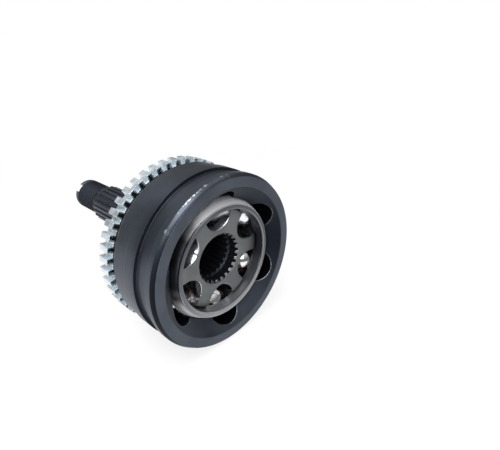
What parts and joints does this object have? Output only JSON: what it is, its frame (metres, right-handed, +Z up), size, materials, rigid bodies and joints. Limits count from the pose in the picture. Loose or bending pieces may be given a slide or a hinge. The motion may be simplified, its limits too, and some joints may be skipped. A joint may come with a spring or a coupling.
{
  "type": "cv joint",
  "caption": "Outboard ball-type constant velocity joint: bell with splined and threaded stub shaft, pressed toothed speed ring, ball cage and splined inner race, lying on its side.",
  "frame": {"origin": "on the joint's axis, in the middle of the journal that sits in the wheel hub", "axes": "+Y along the joint's axis from the open mouth to the threaded tip, +Z up through ball_1, +X to the right seen from the mouth"},
  "size_m": [0.0908, 0.146, 0.0908],
  "materials": {
    "phosphate": "dark phosphate, satin",
    "zinc": "bright zinc plated",
    "ground_steel": "ground, satin",
    "forged_steel": "turned and ground",
    "ball_steel": "mirror polished"
  },
  "bodies": {
    "bell": {"outer_race": "phosphate", "abs_ring": "zinc"},
    "star": {"inner_race": "forged_steel"},
    "ball_cage": {"cage": "ground_steel"},
    "ball_1_body": {"ball_1": "ball_steel"},
    "ball_2_body": {"ball_2": "ball_steel"},
    "ball_3_body": {"ball_3": "ball_steel"},
    "ball_4_body": {"ball_4": "ball_steel"},
    "ball_5_body": {"ball_5": "ball_steel"},
    "ball_6_body": {"ball_6": "ball_steel"}
  },
  "joints": [
    {"name": "bend", "type": "hinge", "parent": "bell", "child": "star", "pos_m": [0, -0.0425, 0], "axis": [1, 0, 0], "range_deg": [-43, 43]},
    {"name": "cage_tilt", "type": "hinge", "parent": "bell", "child": "ball_cage", "pos_m": [0, -0.0425, 0], "axis": [1, 0, 0], "range_deg": [-21.6, 21.6]},
    {"name": "ball_1_roll_along", "type": "hinge", "parent": "bell", "child": "ball_1_body", "pos_m": [0, -0.0463, 0], "axis": [1, 0, 0], "range_deg": [-21.6, 21.6]},
    {"name": "ball_2_roll_along", "type": "hinge", "parent": "bell", "child": "ball_2_body", "pos_m": [0, -0.0463, 0], "axis": [0.5, 0, -0.866], "range_deg": [-11.2, 11.2]},
    {"name": "ball_3_roll_along", "type": "hinge", "parent": "bell", "child": "ball_3_body", "pos_m": [0, -0.0463, 0], "axis": [-0.5, 0, -0.866], "range_deg": [-11.2, 11.2]},
    {"name": "ball_4_roll_along", "type": "hinge", "parent": "bell", "child": "ball_4_body", "pos_m": [0, -0.0463, 0], "axis": [-1, 0, 0], "range_deg": [-21.6, 21.6]},
    {"name": "ball_5_roll_along", "type": "hinge", "parent": "bell", "child": "ball_5_body", "pos_m": [0, -0.0463, 0], "axis": [-0.5, 0, 0.866], "range_deg": [-11.2, 11.2]},
    {"name": "ball_6_roll_along", "type": "hinge", "parent": "bell", "child": "ball_6_body", "pos_m": [0, -0.0463, 0], "axis": [0.5, 0, 0.866], "range_deg": [-11.2, 11.2]}
  ],
  "couplings": [
    {"joint": "cage_tilt", "follows": "bend", "ratio": 0.5},
    {"joint": "ball_1_roll_along", "follows": "bend", "ratio": 0.5},
    {"joint": "ball_2_roll_along", "follows": "bend", "ratio": 0.257},
    {"joint": "ball_3_roll_along", "follows": "bend", "ratio": -0.257},
    {"joint": "ball_4_roll_along", "follows": "bend", "ratio": -0.5},
    {"joint": "ball_5_roll_along", "follows": "bend", "ratio": -0.257},
    {"joint": "ball_6_roll_along", "follows": "bend", "ratio": 0.257}
  ]
}
